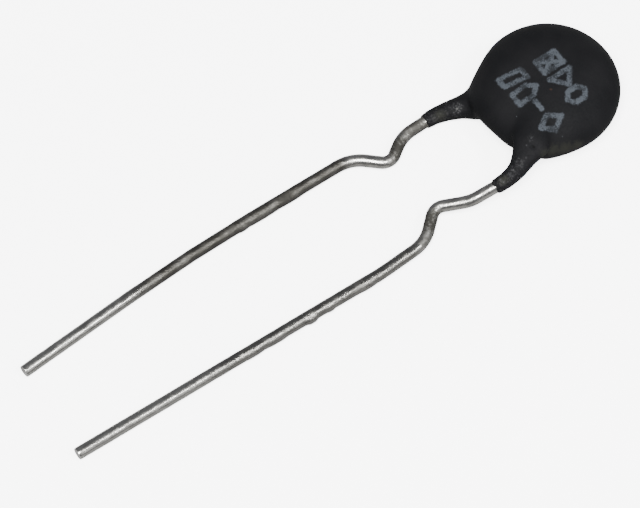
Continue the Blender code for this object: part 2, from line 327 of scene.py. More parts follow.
def cage_point(column, ring, radius, half_height):
    """A point of the resin's cage, on the rounded rim or on one of the two nearly flat faces."""
    level = min(ring, RINGS - 1 - ring)
    if level < len(FLAT_SHARES):
        reach = FLAT_RADIUS * FLAT_SHARES[level]
        height = half_height if ring < EQUATOR else -half_height
    else:
        angle = math.radians(RIM_ANGLES[ring - len(FLAT_SHARES)])
        rim = (radius - FLAT_RADIUS) / pull_in(RIM_ANGLES[0] - RIM_ANGLES[1])
        reach = FLAT_RADIUS + rim * math.cos(angle)
        height = half_height * math.sin(angle)
    turn = math.radians(column_angle(column))
    gaps = abs(column_angle(column + 1) - column_angle(column - 1))
    if abs(column) == CAGE_COLUMNS // 2:
        gaps = 2 * abs(180 - abs(column_angle(abs(column) - 1)))
    reach /= pull_in(gaps / 2)
    return Vector((reach * math.sin(turn), -reach * math.cos(turn), half_height + height))


def grow_neck(cage, lead, path, wire_radius):
    """Extrudes four cage faces at the rim into a neck that follows a lead."""
    column = cage.verts.layers.int["column"]
    ring = cage.verts.layers.int["ring"]
    side = lead["side"]
    home_ring = EQUATOR - side
    patch = []
    for face in cage.faces:
        offsets = [(v[column] - side * NECK_COLUMN, v[ring] - home_ring) for v in face.verts]
        if all(abs(across) <= 1 and abs(down) <= 1 for across, down in offsets):
            patch.append(face)
    for share, wall, flare in zip(NECK_STATIONS, NECK_WALLS, NECK_FLARES):
        grown = bmesh.ops.extrude_face_region(cage, geom=patch)["geom"]
        bmesh.ops.delete(cage, geom=patch, context="FACES")
        patch = [item for item in grown if isinstance(item, bmesh.types.BMFace)]
        past = lead["root"] + share * (lead["neck"] - lead["root"])
        centre, outwards = along(path, FACE_REACH + past)
        across = Vector((0, 0, 1)).cross(outwards).normalized()
        upwards = outwards.cross(across)
        radius = wire_radius + wall
        for vert in {vert for face in patch for vert in face.verts}:
            x = side * vert[column] - NECK_COLUMN
            y = home_ring - vert[ring]
            if x and y:
                x *= math.sqrt(0.5)
                y *= math.sqrt(0.5)
            width = radius + flare * (lead["outer_flare"] if x > 0 else lead["inner_flare"])
            height = radius + flare * (ROOT_WEB if side * y < 0 and x <= 0 else 0)
            vert.co = centre + (across * side * x * width + upwards * y * height) / pull_in(NECK_STEP)
    crease = cage.edges.layers.float.get("crease_edge")
    for edge in {edge for face in patch for edge in face.edges}:
        if len([face for face in edge.link_faces if face in patch]) == 1:
            edge[crease] = NECK_END_CREASE


def resin_cage(settings, paths, wire_radius):
    """The dipped resin's cage: a lens drawn out along both leads."""
    cage = bmesh.new()
    bmesh.ops.create_uvsphere(cage, u_segments=CAGE_COLUMNS, v_segments=RINGS - 1, radius=1)
    cage.edges.layers.float.new("crease_edge")
    column = cage.verts.layers.int.new("column")
    ring = cage.verts.layers.int.new("ring")
    for vert in cage.verts:
        turn = math.atan2(vert.co.x, -vert.co.y) if vert.co.xy.length > 1e-6 else 0.0
        vert[column] = round(turn / (2 * math.pi) * CAGE_COLUMNS)
        vert[ring] = round(vert.co.angle(Vector((0, 0, 1))) / math.pi * (RINGS - 1))
    crest = WIRE_HEIGHT + wire_radius + RIDGE_COVER
    for vert in cage.verts:
        vert.co = cage_point(vert[column], vert[ring], settings.radius, settings.half_height)
        for side in (1, -1):
            if vert[column] == side * NECK_COLUMN and vert[ring] == EQUATOR - 2 * side:
                vert.co.z = settings.half_height + side * crest
            inner = vert[column] == side * (NECK_COLUMN - 1) and vert[ring] == EQUATOR - side
            brow = side * vert[column] in LEADS[SIDES[side]]["swell"] and vert[ring] == EQUATOR
            if inner or brow:
                vert.co += RIM_SWELL * face_line(LEADS[SIDES[side]])[1]
    for name, lead in LEADS.items():
        grow_neck(cage, lead, paths[name], wire_radius)
    bmesh.ops.recalc_face_normals(cage, faces=cage.faces)
    return cage


def new_object(data, name):
    """An object in the scene that holds this mesh, curve, lamp or camera."""
    obj = bpy.data.objects.new(name, data)
    bpy.context.scene.collection.objects.link(obj)
    return obj


def mesh_from(cage, name):
    """A new mesh with the cage's faces. The cage is freed."""
    mesh = bpy.data.meshes.new(name)
    cage.to_mesh(mesh)
    cage.free()
    return mesh


def settled(obj, name):
    """The object with its modifiers or its curve turned into a plain mesh. The old object goes."""
    graph = bpy.context.evaluated_depsgraph_get()
    mesh = bpy.data.meshes.new_from_object(obj.evaluated_get(graph))
    mesh.name = name
    bpy.data.objects.remove(obj, do_unlink=True)
    return new_object(mesh, name)


def wander(point, size, seed=0.0):
    """Smooth noise from -1 to 1 with bumps of about this size."""
    return noise.noise(point / size + Vector((seed, 1.7 * seed, 0.3 * seed)))


def smooth_step(value, low, high):
    """A smooth rise from 0 at one value to 1 at another."""
    share = min(1.0, max(0.0, (value - low) / (high - low)))
    return share * share * (3 - 2 * share)


def path_arrays(path):
    """The path's points, and the distance along it to each."""
    stations = np.array([tuple(point) for point in path])
    steps = np.linalg.norm(np.diff(stations, axis=0), axis=1)
    return stations, np.concatenate(([0], np.cumsum(steps)))


def places_along(path, distances):
    """The points at these distances along a path."""
    stations, reach = path_arrays(path)
    return np.stack([np.interp(distances, reach, stations[:, axis]) for axis in range(3)], axis=1)


def vertex_array(mesh, field):
    """The mesh's points or its normals as an array."""
    values = np.empty(len(mesh.vertices) * 3)
    if field == "normal":
        mesh.vertex_normals.foreach_get("vector", values)
    else:
        mesh.vertices.foreach_get(field, values)
    return values.reshape(-1, 3)


def nearest_stations(points, path):
    """For each point, how far along the path its nearest place is, and the gap to it."""
    stations, reach = path_arrays(path)
    best = np.full(len(points), np.inf)
    where = np.zeros(len(points))
    for start, end, run in zip(stations, stations[1:], reach):
        span = end - start
        length = np.linalg.norm(span)
        share = np.clip((points - start) @ span / length**2, 0, 1)
        gap = np.linalg.norm(points - start - share[:, None] * span, axis=1)
        closer = gap < best
        best[closer] = gap[closer]
        where[closer] = run + share[closer] * length
    return where, best


# Dents and bumps of the skin, in millimetres: centre, size and height
SKIN_MARKS = (
    ((3.45, -2.9, 1.5), 0.75, 0.2),
    ((3.9, -2.0, 1.4), 0.9, 0.1),
    ((-1.5, -4.45, 0.9), 0.45, 0.13),
    ((0.75, -4.3, 1.2), 1.0, -0.09),
    ((-3.15, -3.95, 1.5), 0.6, -0.1),
    ((3.42, -3.75, 3.58), 0.25, -0.12),
    ((2.95, -3.9, 3.5), 0.16, -0.03),
    ((-2.55, -4.7, 1.3), 0.25, -0.03),
    ((3.62, -5.9, 2.9), 0.17, 0.035),
    ((3.95, -6.4, 2.3), 0.14, 0.03),
    ((-2.75, -5.4, 1.45), 0.18, 0.03),
    ((-3.6, -6.7, 1.0), 0.16, 0.025),
)
# Noise that shapes the skin: the size of its bumps and its seed
BROAD_HOLLOWS = (2.4 * MM, 3.0)
SMALL_HOLLOWS = (0.7 * MM, 8.0)
NECK_LUMPS = (0.42 * MM, 5.0)
NECK_GRIT = (0.17 * MM, 9.0)
END_WAVES = (0.4 * MM, 14.0)
END_TEETH = (0.15 * MM, 21.0)
# Where a neck is lumpy: rising past the ceramic's edge, and falling away from the wire
LUMPY_PAST = (0.1 * MM, 1.6 * MM)
LUMPY_OFF = (0.9 * MM, 1.6 * MM)
# Where a neck's end is ragged, as shares of its length, and the step that gives the wire's direction
RAGGED_PART = (0.86, 0.99)
DIRECTION_STEP = 0.1 * MM
# The spot that the disc lies on keeps its shape: its height and radius
REST_HEIGHT = 0.2 * MM
REST_RADIUS = 0.9 * MM


def roughen_neck(points, push, settings, lead, path):
    """Adds one neck's lumps to the push, and moves its end raggedly along the wire."""
    where, gap = nearest_stations(points, path)
    past = where - FACE_REACH
    ahead = (places_along(path, where + DIRECTION_STEP) - places_along(path, where)) / DIRECTION_STEP
    for number in np.nonzero((past > LUMPY_PAST[0]) & (gap < LUMPY_OFF[1]))[0]:
        here = Vector(points[number])
        near = smooth_step(past[number], *LUMPY_PAST)
        near *= 1 - smooth_step(gap[number], *LUMPY_OFF)
        lumps = 0.65 * wander(here, *NECK_LUMPS) + 0.4 * wander(here, *NECK_GRIT)
        push[number] += near * settings.neck_lumps * lumps
        end = smooth_step(past[number], *(share * lead["neck"] for share in RAGGED_PART))
        if end > 0:
            shift = wander(here, *END_WAVES) + 0.5 * wander(here, *END_TEETH) - 0.2
            points[number] += ahead[number] * end * settings.ragged_end * shift


def relief(mesh, settings, paths):
    """Moves the skin's points: broad hollows in the coat, lumps on the necks, ragged ends."""
    points = vertex_array(mesh, "co")
    normals = vertex_array(mesh, "normal")
    push = np.zeros(len(points))
    for number, point in enumerate(points):
        here = Vector(point)
        broad = 0.5 + 0.5 * wander(here, *BROAD_HOLLOWS)
        small = 0.5 + 0.5 * wander(here, *SMALL_HOLLOWS)
        push[number] = -settings.unevenness * (broad + 0.3 * small)
    for centre, size, height in SKIN_MARKS:
        away = np.linalg.norm(points / MM - np.array(centre), axis=1) / size
        push += height * MM * np.exp(-(away**2))
    for name, lead in LEADS.items():
        roughen_neck(points, push, settings, lead, paths[name])
    resting = (points[:, 2] < REST_HEIGHT) & (np.hypot(points[:, 0], points[:, 1]) < REST_RADIUS)
    push[resting] = 0
    points += normals * push[:, None]
    points[:, 2] = np.clip(points[:, 2], 0, 2 * settings.half_height)
    mesh.vertices.foreach_set("co", points.ravel())
    mesh.update()


def feed(tree, node, inputs):
    """Sets inputs of a node. Each takes a value, or a socket to link from."""
    for key, value in dict(inputs).items():
        if isinstance(value, bpy.types.NodeSocket):
            tree.links.new(value, node.inputs[key])
        else:
            node.inputs[key].default_value = value


def place(tree, kind, inputs=(), **settings):
    """Adds a node to a tree, with its inputs and its settings."""
    node = tree.nodes.new(kind)
    for key, value in settings.items():
        setattr(node, key, value)
    feed(tree, node, inputs)
    return node


def maths(tree, operation, *values, clamp=False):
    """The result of a Math node."""
    return place(tree, "ShaderNodeMath", enumerate(values), operation=operation, use_clamp=clamp).outputs[0]


def vectors(tree, operation, *values, **named):
    """The outputs of a Vector Math node: a vector, and a value for a distance or a dot product."""
    inputs = {**dict(enumerate(values)), **named}
    return place(tree, "ShaderNodeVectorMath", inputs, operation=operation).outputs


def cloud(tree, point, scale, detail):
    """The outputs of a noise texture: a value, and a colour of three unlike values."""
    return place(tree, "ShaderNodeTexNoise", {"Vector": point, "Scale": scale, "Detail": detail}).outputs


def mixed(tree, share, first, second):
    """Two colours mixed by a share."""
    node = place(tree, "ShaderNodeMix", {0: share, 6: first, 7: second}, data_type="RGBA")
    return node.outputs[2]


def ranged(tree, value, low, high, to_low=0.0, to_high=1.0):
    """A value moved from one range to another and held inside it."""
    node = place(tree, "ShaderNodeMapRange", {0: value, 1: low, 2: high, 3: to_low, 4: to_high})
    node.interpolation_type = "SMOOTHSTEP"
    return node.outputs[0]


def coordinates(tree, point):
    """The x, y and z of a point."""
    return place(tree, "ShaderNodeSeparateXYZ", {0: point}).outputs


def strongest(tree, masks):
    """The highest of several masks. Each is joined before the next is made, to keep the shader small."""
    total = None
    for mask in masks:
        total = mask if total is None else maths(tree, "MAXIMUM", total, mask)
    return total


def added(tree, base, *terms):
    """The base with each term, given as (value, weight), added to it."""
    for value, weight in terms:
        base = maths(tree, "ADD", base, maths(tree, "MULTIPLY", value, weight))
    return base


def darker(colour, share):
    """A colour at a share of its brightness."""
    return (*(share * value for value in colour[:3]), 1)


ORIGIN = (0.0, 0.0, 0.0)

# Names of the shared effects
GRAIN = "Cloudy grain"
SPOT = "Ragged spot"
STROKE = "Print stroke"
PRINT = "Worn print"


def new_group(name, defaults):
    """An empty node group that puts out a mask. Its inputs, points or numbers, have these defaults."""
    tree = bpy.data.node_groups.new(name, "ShaderNodeTree")
    for label, default in defaults.items():
        kind = "NodeSocketVector" if default == ORIGIN else "NodeSocketFloat"
        socket = tree.interface.new_socket(label, in_out="INPUT", socket_type=kind)
        socket.default_value = default
    tree.interface.new_socket("Mask", in_out="OUTPUT", socket_type="NodeSocketFloat")
    given = tree.nodes.new("NodeGroupInput").outputs
    return tree, given, tree.nodes.new("NodeGroupOutput").inputs["Mask"]


def use_group(tree, name, inputs):
    """Adds a shared effect, which is built when it is first needed, and gives its mask."""
    group = bpy.data.node_groups.get(name) or GROUP_MAKERS[name]()
    return place(tree, "ShaderNodeGroup", inputs, node_tree=group).outputs[0]


def grain_group():
    """Cloudy grain: noise of a given size, with its contrast raised."""
    defaults = {"Point": ORIGIN, "Per mm": 1.0, "Detail": 3.0, "Low": 0.35, "High": 0.65}
    tree, given, mask = new_group(GRAIN, defaults)
    scale = maths(tree, "MULTIPLY", given["Per mm"], MM_PER_METRE)
    level = cloud(tree, given["Point"], scale, given["Detail"])[0]
    tree.links.new(ranged(tree, level, given["Low"], given["High"]), mask)
    return tree


# The edge of a spot: its waves per millimetre and their detail, and how far they reach, in radii
SPOT_WAVES = (5.0, 3.0)
SPOT_REACH = 3.0


def spot_group():
    """A soft round spot in space, with a ragged edge."""
    defaults = {"Point": ORIGIN, "Centre mm": ORIGIN, "Radius mm": 0.2, "Softness": 0.5, "Raggedness": 0.5}
    tree, given, mask = new_group(SPOT, defaults)
    in_mm = vectors(tree, "SCALE", given["Point"], Scale=MM_PER_METRE)[0]
    gap = vectors(tree, "DISTANCE", in_mm, given["Centre mm"])["Value"]
    share = maths(tree, "DIVIDE", gap, given["Radius mm"])
    waves = maths(tree, "SUBTRACT", cloud(tree, in_mm, *SPOT_WAVES)[0], 0.5)
    wobble = maths(tree, "MULTIPLY", waves, given["Raggedness"])
    ragged = added(tree, share, (wobble, SPOT_REACH))
    inner = maths(tree, "SUBTRACT", 1.0, given["Softness"])
    tree.links.new(ranged(tree, ragged, inner, 1.0, 1.0, 0.0), mask)
    return tree


# A stroke's edge: where it is full and where it is gone, in millimetres past its half width
STROKE_EDGE = (-0.07, 0.05)


def stroke_group():
    """One straight stroke of print, seen along the disc's axis."""
    defaults = {"Point mm": ORIGIN, "Start": ORIGIN, "End": ORIGIN, "Width": 0.3}
    tree, given, mask = new_group(STROKE, defaults)
    run = vectors(tree, "SUBTRACT", given["End"], given["Start"])[0]
    from_start = vectors(tree, "SUBTRACT", given["Point mm"], given["Start"])[0]
    dot = vectors(tree, "DOT_PRODUCT", from_start, run)["Value"]
    square = vectors(tree, "DOT_PRODUCT", run, run)["Value"]
    # Two nodes hold the share in 0 to 1, because with a clamped node the renderer
    # runs out of room for so many strokes
    share = maths(tree, "MAXIMUM", maths(tree, "DIVIDE", dot, square), 0.0)
    share = maths(tree, "MINIMUM", share, 1.0)
    foot = vectors(tree, "SCALE", run, Scale=share)[0]
    gap = vectors(tree, "DISTANCE", from_start, foot)["Value"]
    past_edge = maths(tree, "SUBTRACT", gap, maths(tree, "MULTIPLY", given["Width"], 0.5))
    tree.links.new(ranged(tree, past_edge, *STROKE_EDGE, 1.0, 0.0), mask)
    return tree


# Print on the front face, in millimetres: two rows of plain outlines, as lists of corners
PRINT_OUTLINES = (
    ((-1.15, -0.15), (-1.15, 1.3), (-0.15, 1.3), (-0.15, -0.15), (-1.15, -0.15), (-0.15, 1.3)),
    ((-1.15, 1.3), (-0.15, -0.15)),
    ((0.4, 1.35), (0.4, -0.2), (1.4, 0.6), (0.4, 1.35)),
    ((1.75, 0.2), (2.2, -0.15), (2.6, 0.2), (2.6, 0.9), (2.15, 1.25), (1.75, 0.9), (1.75, 0.2)),
    ((-1.65, -2.7), (-0.95, -2.7), (-0.6, -1.2), (-1.3, -1.2), (-1.65, -2.7)),
    ((-0.2, -2.7), (0.65, -2.7), (0.65, -1.65), (0.22, -1.1), (-0.2, -1.65), (-0.2, -2.7)),
    ((1.05, -1.85), (1.75, -1.85)),
    ((2.75, -2.7), (3.2, -1.85), (2.75, -1.05), (2.25, -1.85), (2.75, -2.7)),
)
# How the print's edges wander: waves per millimetre, their detail, and their reach in millimetres
PRINT_WAVES = (6.0, 2.0)
PRINT_REACH = 0.22
# How the ink is worn: two noises per millimetre with their detail, worn and whole level, and what is left
FINE_WEAR = (13.0, 4.0)
BROAD_WEAR = (1.3, 1.0)
WEAR_LEVELS = (0.4, 0.56)
LEAST_INK = 0.25
# The print is only on the front: where it starts and is full, in millimetres over the floor
PRINT_RISE = (2.6, 3.0)


def print_group():
    """The worn print: strokes with wandering edges, thinned and pitted."""
    tree, given, mask = new_group(PRINT, {"Point": ORIGIN, "Stroke mm": 0.35})
    in_mm = vectors(tree, "SCALE", given["Point"], Scale=MM_PER_METRE)[0]
    waves = vectors(tree, "SUBTRACT", cloud(tree, in_mm, *PRINT_WAVES)["Color"], (0.5, 0.5, 0.5))[0]
    moved = vectors(tree, "ADD", in_mm, vectors(tree, "SCALE", waves, Scale=PRINT_REACH)[0])[0]
    flat = vectors(tree, "MULTIPLY", moved, (1.0, 1.0, 0.0))[0]

    def stroke(start, end):
        line = {"Point mm": flat, "Start": (*start, 0), "End": (*end, 0), "Width": given["Stroke mm"]}
        return use_group(tree, STROKE, line)

    lines = (ends for outline in PRINT_OUTLINES for ends in zip(outline, outline[1:]))
    printed = strongest(tree, (stroke(*ends) for ends in lines))
    fine = cloud(tree, in_mm, *FINE_WEAR)[0]
    broad = cloud(tree, in_mm, *BROAD_WEAR)[0]
    level = maths(tree, "MULTIPLY", maths(tree, "ADD", fine, broad), 0.5)
    kept = ranged(tree, level, *WEAR_LEVELS)
    on_front = ranged(tree, coordinates(tree, in_mm)[2], *PRINT_RISE)
    inked = maths(tree, "MULTIPLY", printed, ranged(tree, kept, 0.0, 1.0, LEAST_INK, 1.0))
    tree.links.new(maths(tree, "MULTIPLY", inked, on_front), mask)
    return tree


GROUP_MAKERS = {GRAIN: grain_group, SPOT: spot_group, STROKE: stroke_group, PRINT: print_group}


def new_material(name):
    """A material with a Principled shader, its tree, and the point that it shades in metres."""
    material = bpy.data.materials.new(name)
    material.use_nodes = True
    tree = material.node_tree
    shader = tree.nodes["Principled BSDF"]
    point = tree.nodes.new("ShaderNodeTexCoord").outputs["Object"]
    return material, tree, shader, point


def dress(mesh, *materials):
    """Gives a mesh these materials in place of its own."""
    mesh.materials.clear()
    for material in materials:
        mesh.materials.append(material)


def bump(tree, shader, height, distance, strength):
    """Lights the surface as if it had this height, in metres where the height is 1."""
    node = place(tree, "ShaderNodeBump", {"Height": height, "Distance": distance, "Strength": strength})
    tree.links.new(node.outputs[0], shader.inputs["Normal"])


def grain(tree, point, per_mm, detail, low, high):
    """Cloudy grain at a point."""
    inputs = {"Point": point, "Per mm": per_mm, "Detail": detail, "Low": low, "High": high}
    return use_group(tree, GRAIN, inputs)


def spot(tree, point, centre, radius, softness, raggedness):
    """How far a point is inside a ragged spot."""
    inputs = {"Point": point, "Centre mm": centre, "Radius mm": radius}
    inputs |= {"Softness": softness, "Raggedness": raggedness}
    return use_group(tree, SPOT, inputs)


def strongest_spot(tree, point, marks, edge):
    """The highest of several ragged spots. Each mark is (centre, radius, strength)."""
    masks = (
        maths(tree, "MULTIPLY", spot(tree, point, centre, radius, *edge), strength)
        for centre, radius, strength in marks
    )
    return strongest(tree, masks)


# Scuffed places of the necks: centre and radius in millimetres, and strength
SCUFFS = (
    ((2.94, -3.59, 3.73), 0.35, 0.3),
    ((3.72, -5.03, 3.2), 0.5, 0.45),
    ((3.78, -5.75, 2.9), 0.5, 0.6),
    ((3.83, -6.51, 2.56), 0.4, 0.6),
    ((-2.6, -5.17, 1.27), 0.48, 1.0),
    ((-2.97, -6.78, 1.09), 0.35, 0.5),
)
# Painted olive sheen: paler olive patches on the rim by the front neck stand in for reflected light, and
# the same paler olive goes near the ends of both necks: centre and radius in millimetres
PAINTED_SHEENS = (
    ((3.95, -3.4, 3.1), 0.5),
    ((3.85, -2.6, 2.4), 0.75),
    ((4.15, -1.8, 2.25), 0.75),
    ((4.4, -1.0, 2.2), 0.6),
    ((3.8, -6.4, 2.6), 0.55),
    ((-2.85, -6.3, 1.2), 0.6),
)
# Small flecks on the coat, and one near-black patch of painted shade in the dent by the front neck's ridge:
# centre, radius in millimetres and colour
FLECKS_AND_PAINTED_SHADE = (
    ((1.1, -3.33, 3.57), 0.05, (0.022, 0.024, 0.026)),
    ((1.0, -0.56, 3.98), 0.11, (0.013, 0.0075, 0.0055)),
    ((2.94, -3.59, 3.73), 0.06, (0.013, 0.014, 0.015)),
    ((3.13, -4.09, 3.61), 0.05, (0.014, 0.014, 0.015)),
    # Painted shade: a near-black patch that darkens the dent by the front neck's ridge
    ((3.42, -3.75, 3.58), 0.17, (0.0003, 0.0003, 0.0004)),
    ((3.73, -1.7, 3.05), 0.05, (0.013, 0.014, 0.015)),
    ((3.71, -4.55, 3.33), 0.07, (0.01, 0.01, 0.011)),
    ((3.78, -5.58, 2.97), 0.07, (0.021, 0.021, 0.021)),
    ((3.83, -6.51, 2.56), 0.09, (0.016, 0.016, 0.0145)),
    ((4.25, -5.57, 2.61), 0.06, (0.016, 0.016, 0.017)),
    ((-2.6, -5.17, 1.27), 0.09, (0.035, 0.035, 0.034)),
    ((-2.42, -4.98, 1.3), 0.07, (0.018, 0.018, 0.018)),
    ((-2.97, -6.78, 1.09), 0.09, (0.012, 0.012, 0.012)),
)
# Edges of those spots: softness and raggedness
SCUFF_EDGE = (0.9, 0.5)
PAINTED_SHEEN_EDGE = (0.9, 0.3)
FLECK_AND_SHADE_EDGE = (0.5, 0.6)
# Grain of the resin: per millimetre, detail, and the noise levels where it starts and is full
HAZE = (0.45, 2.0, 0.3, 0.7)
SPECKLE = (7.0, 3.0, 0.35, 0.75)
SCRATCHES = (7.0, 5.0, 0.44, 0.68)
DUST = (12.0, 2.0, 0.52, 0.75)
ORANGE_PEEL = (2.2, 2.0, 0.2, 0.8)
# Dust lies on the necks: full beyond the first place along Y and gone by the second, in metres
DUSTY_PART = (-0.0055, -0.0045)
DUST_STRENGTH = 0.35
INK_SHADE = 0.8
RESIN_SPECULAR = 0.09
RESIN_ROUGHNESS = 0.72
RESIN_BUMP = (0.000012, 0.6)


def resin_material(settings):
    """Black resin: hazy, scuffed and dusty on the necks, with the worn print, a few flecks, a painted olive
    sheen on the rim and necks, and painted shade in one dent.
    """
    material, tree, shader, point = new_material("dipped_resin")
    colour = mixed(tree, grain(tree, point, *HAZE), settings.colour[:], settings.haze[:])
    # Painted sheen: paler olive on the rim by the front neck stands in for reflected light, and the neck
    # ends get the same colour
    for centre, radius in PAINTED_SHEENS:
        here = spot(tree, point, centre, radius, *PAINTED_SHEEN_EDGE)
        colour = mixed(tree, here, colour, settings.painted_sheen[:])
    fine = grain(tree, point, *SPECKLE)
    scuffed = strongest_spot(tree, point, SCUFFS, SCUFF_EDGE)
    scuffed = maths(tree, "MULTIPLY", scuffed, grain(tree, point, *SCRATCHES))
    on_neck = ranged(tree, coordinates(tree, point)[1], *DUSTY_PART, 1.0, 0.0)
    dust = maths(tree, "MULTIPLY", grain(tree, point, *DUST), on_neck)
    scuffed = maths(tree, "MAXIMUM", scuffed, maths(tree, "MULTIPLY", dust, DUST_STRENGTH))
    colour = mixed(tree, scuffed, colour, settings.scuff[:])
    inked = use_group(tree, PRINT, {"Point": point})
    tone = mixed(tree, fine, darker(settings.ink, INK_SHADE), settings.ink[:])
    colour = mixed(tree, inked, colour, tone)
    # Flecks, and the near-black patch of painted shade in the dent by the front neck's ridge
    for centre, radius, fleck_and_shade_colour in FLECKS_AND_PAINTED_SHADE:
        here = spot(tree, point, centre, radius, *FLECK_AND_SHADE_EDGE)
        colour = mixed(tree, here, colour, (*fleck_and_shade_colour, 1))
    rough = added(tree, RESIN_ROUGHNESS, (fine, 0.08), (scuffed, 0.1), (inked, 0.1))
    feed(tree, shader, {"Base Color": colour, "Roughness": rough, "Specular IOR Level": RESIN_SPECULAR})
    height = added(tree, grain(tree, point, *ORANGE_PEEL), (fine, 0.25), (inked, 0.5))
    bump(tree, shader, height, *RESIN_BUMP)
    return material


# Stained places of the wires: centre and radius in millimetres, and strength
STAINS = (
    ((-3.35, -8.0, 0.65), 1.7, 0.85),
    ((-2.75, -9.8, 0.65), 1.45, 1.0),
    ((2.8, -11.35, 0.8), 1.35, 1.0),
    ((3.5, -12.3, 0.75), 0.9, 0.7),
    ((3.51, -21.25, 0.6), 0.5, 0.6),
    ((-4.2, -17.5, 0.6), 0.9, 0.6),
    ((-4.4, -21.5, 0.6), 0.7, 0.5),
    ((3.75, -17.5, 0.6), 0.7, 0.5),
)
STAIN_EDGE = (0.7, 0.5)
# The middle of each leg is dull: where that starts and ends, in metres, and how much on which lead
DULL_START = (-0.0135, -0.0125)
DULL_END = (-0.031, -0.027)
BETWEEN_LEADS = (-0.001, 0.001)
DULL_SHARES = (1.0, 0.55)
LEAST_DULL = 0.82
# Grain of the tin, as for the resin, and how the streaks are stretched along the wires
STREAKS = (4.0, 4.0, 0.35, 0.68)
FROST = (6.0, 4.0, 0.35, 0.7)
MOTTLE = (1.6, 3.0, 0.42, 0.7)
PATCHES = (0.9, 3.0, 0.25, 0.6)
SPECKS = (6.0, 3.0, 0.62, 0.72)
GRIT = (13.0, 2.0, 0.3, 0.7)
STREAK_SCALE = (1.0, 0.3, 1.0)
TIN_SHADE = 0.62
TIN_ROUGHNESS = 0.22
# More roughness, and height of the grain, where the tin is dull
DULL_ROUGHNESS = 0.22
DULL_HEIGHT = 2.2
GRIT_HEIGHT = 1.8
TIN_BUMP = (0.000006, 0.7)


def tin_material(settings):
    """Tinned wire: frosted and streaked, stained near the kinks and dull along the middle."""
    material, tree, shader, point = new_material("tinned_wire_skin")
    stretched = place(tree, "ShaderNodeMapping", {"Vector": point, "Scale": STREAK_SCALE}).outputs[0]
    streaks = grain(tree, stretched, *STREAKS)
    frost = grain(tree, point, *FROST)
    mottle = grain(tree, point, *MOTTLE)
    grey = darker(settings.tin, TIN_SHADE)
    colour = mixed(tree, maths(tree, "MULTIPLY", streaks, 0.8), settings.tin[:], grey)
    spots = strongest_spot(tree, point, STAINS, STAIN_EDGE)
    across, out, _ = coordinates(tree, point)
    zone = ranged(tree, out, *DULL_START, 1.0, 0.0)
    zone = maths(tree, "MULTIPLY", zone, ranged(tree, out, *DULL_END))
    dull = maths(tree, "MULTIPLY", zone, ranged(tree, across, *BETWEEN_LEADS, *DULL_SHARES))
    patchy = ranged(tree, grain(tree, point, *PATCHES), 0.0, 1.0, LEAST_DULL, 1.0)
    stained = maths(tree, "MAXIMUM", spots, maths(tree, "MULTIPLY", dull, patchy))
    specks = maths(tree, "MULTIPLY", grain(tree, point, *SPECKS), 0.4)
    stained = maths(tree, "ADD", stained, specks, clamp=True)
    colour = mixed(tree, stained, colour, settings.stain[:])
    rough = added(tree, TIN_ROUGHNESS, (mottle, 0.12), (spots, 0.48))
    rough = maths(tree, "ADD", rough, ranged(tree, dull, *DULL_SHARES[::-1], 0.0, DULL_ROUGHNESS))
    feed(tree, shader, {"Base Color": colour, "Metallic": 1.0, "Roughness": rough})
    height = added(tree, streaks, (frost, 0.5))
    height = maths(tree, "MULTIPLY", height, ranged(tree, dull, 0.0, 1.0, 1.0, DULL_HEIGHT))
    grit = maths(tree, "MULTIPLY", grain(tree, point, *GRIT), dull)
    bump(tree, shader, added(tree, height, (grit, GRIT_HEIGHT)), *TIN_BUMP)
    return material


# Lines of the shear, as grain that is stretched upwards
SHEAR_LINES = (14.0, 2.0, 0.35, 0.65)
SHEAR_SCALE = (1.0, 1.0, 0.25)
SHEAR_SHADE = 0.5
SHEAR_ROUGHNESS = (0.4, 0.6)
SHEAR_BUMP = (0.00001, 0.7)


def cut_material(settings):
    """The sheared ends of the wires."""
    material, tree, shader, point = new_material("sheared_wire")
    stretched = place(tree, "ShaderNodeMapping", {"Vector": point, "Scale": SHEAR_SCALE}).outputs[0]
    lines = grain(tree, stretched, *SHEAR_LINES)
    colour = mixed(tree, lines, settings.stain[:], darker(settings.stain, SHEAR_SHADE))
    rough = ranged(tree, lines, 0.0, 1.0, *SHEAR_ROUGHNESS)
    feed(tree, shader, {"Base Color": colour, "Metallic": 1.0, "Roughness": rough})
    bump(tree, shader, lines, *SHEAR_BUMP)
    return material


# The tube of a wire: its rings' spacing, steps round it, its last rings' shares, and its sharp edges
TUBE_STEP = 0.00007
TUBE_RESOLUTION = 10
TIP_RADII = (0.955, 0.985, 1.0)
SHARP_ANGLE = 50.0
WELD_GAP = 1e-7
# Ripples of the tin: size and seed of the noise
RIPPLES = (0.5 * MM, 2.0)
SMALL_RIPPLES = (0.18 * MM, 6.0)
LONG_RIPPLES = (2.5 * MM, 4.0)
# Lumps of tin on the wires: lead, distance in from the tip, length, height (mm), direction from the axis
TIN_LUMPS = (
    ("front", 17.2, 0.36, 0.1, (0.9, 0.0, -0.35)),
    ("front", 18.6, 0.25, 0.05, (0.9, 0.0, -0.3)),
    ("front", 21.4, 0.5, 0.04, (0.9, 0.0, -0.2)),
    ("front", 14.6, 0.6, 0.04, (0.9, 0.0, -0.3)),
    ("front", 12.9, 0.5, 0.035, (0.9, 0.0, -0.3)),
    ("back", 16.9, 0.3, 0.05, (0.95, 0.0, -0.2)),
    ("back", 18.4, 1.1, 0.055, (0.95, 0.0, -0.2)),
    ("back", 20.5, 0.8, 0.045, (0.95, 0.0, -0.2)),
)


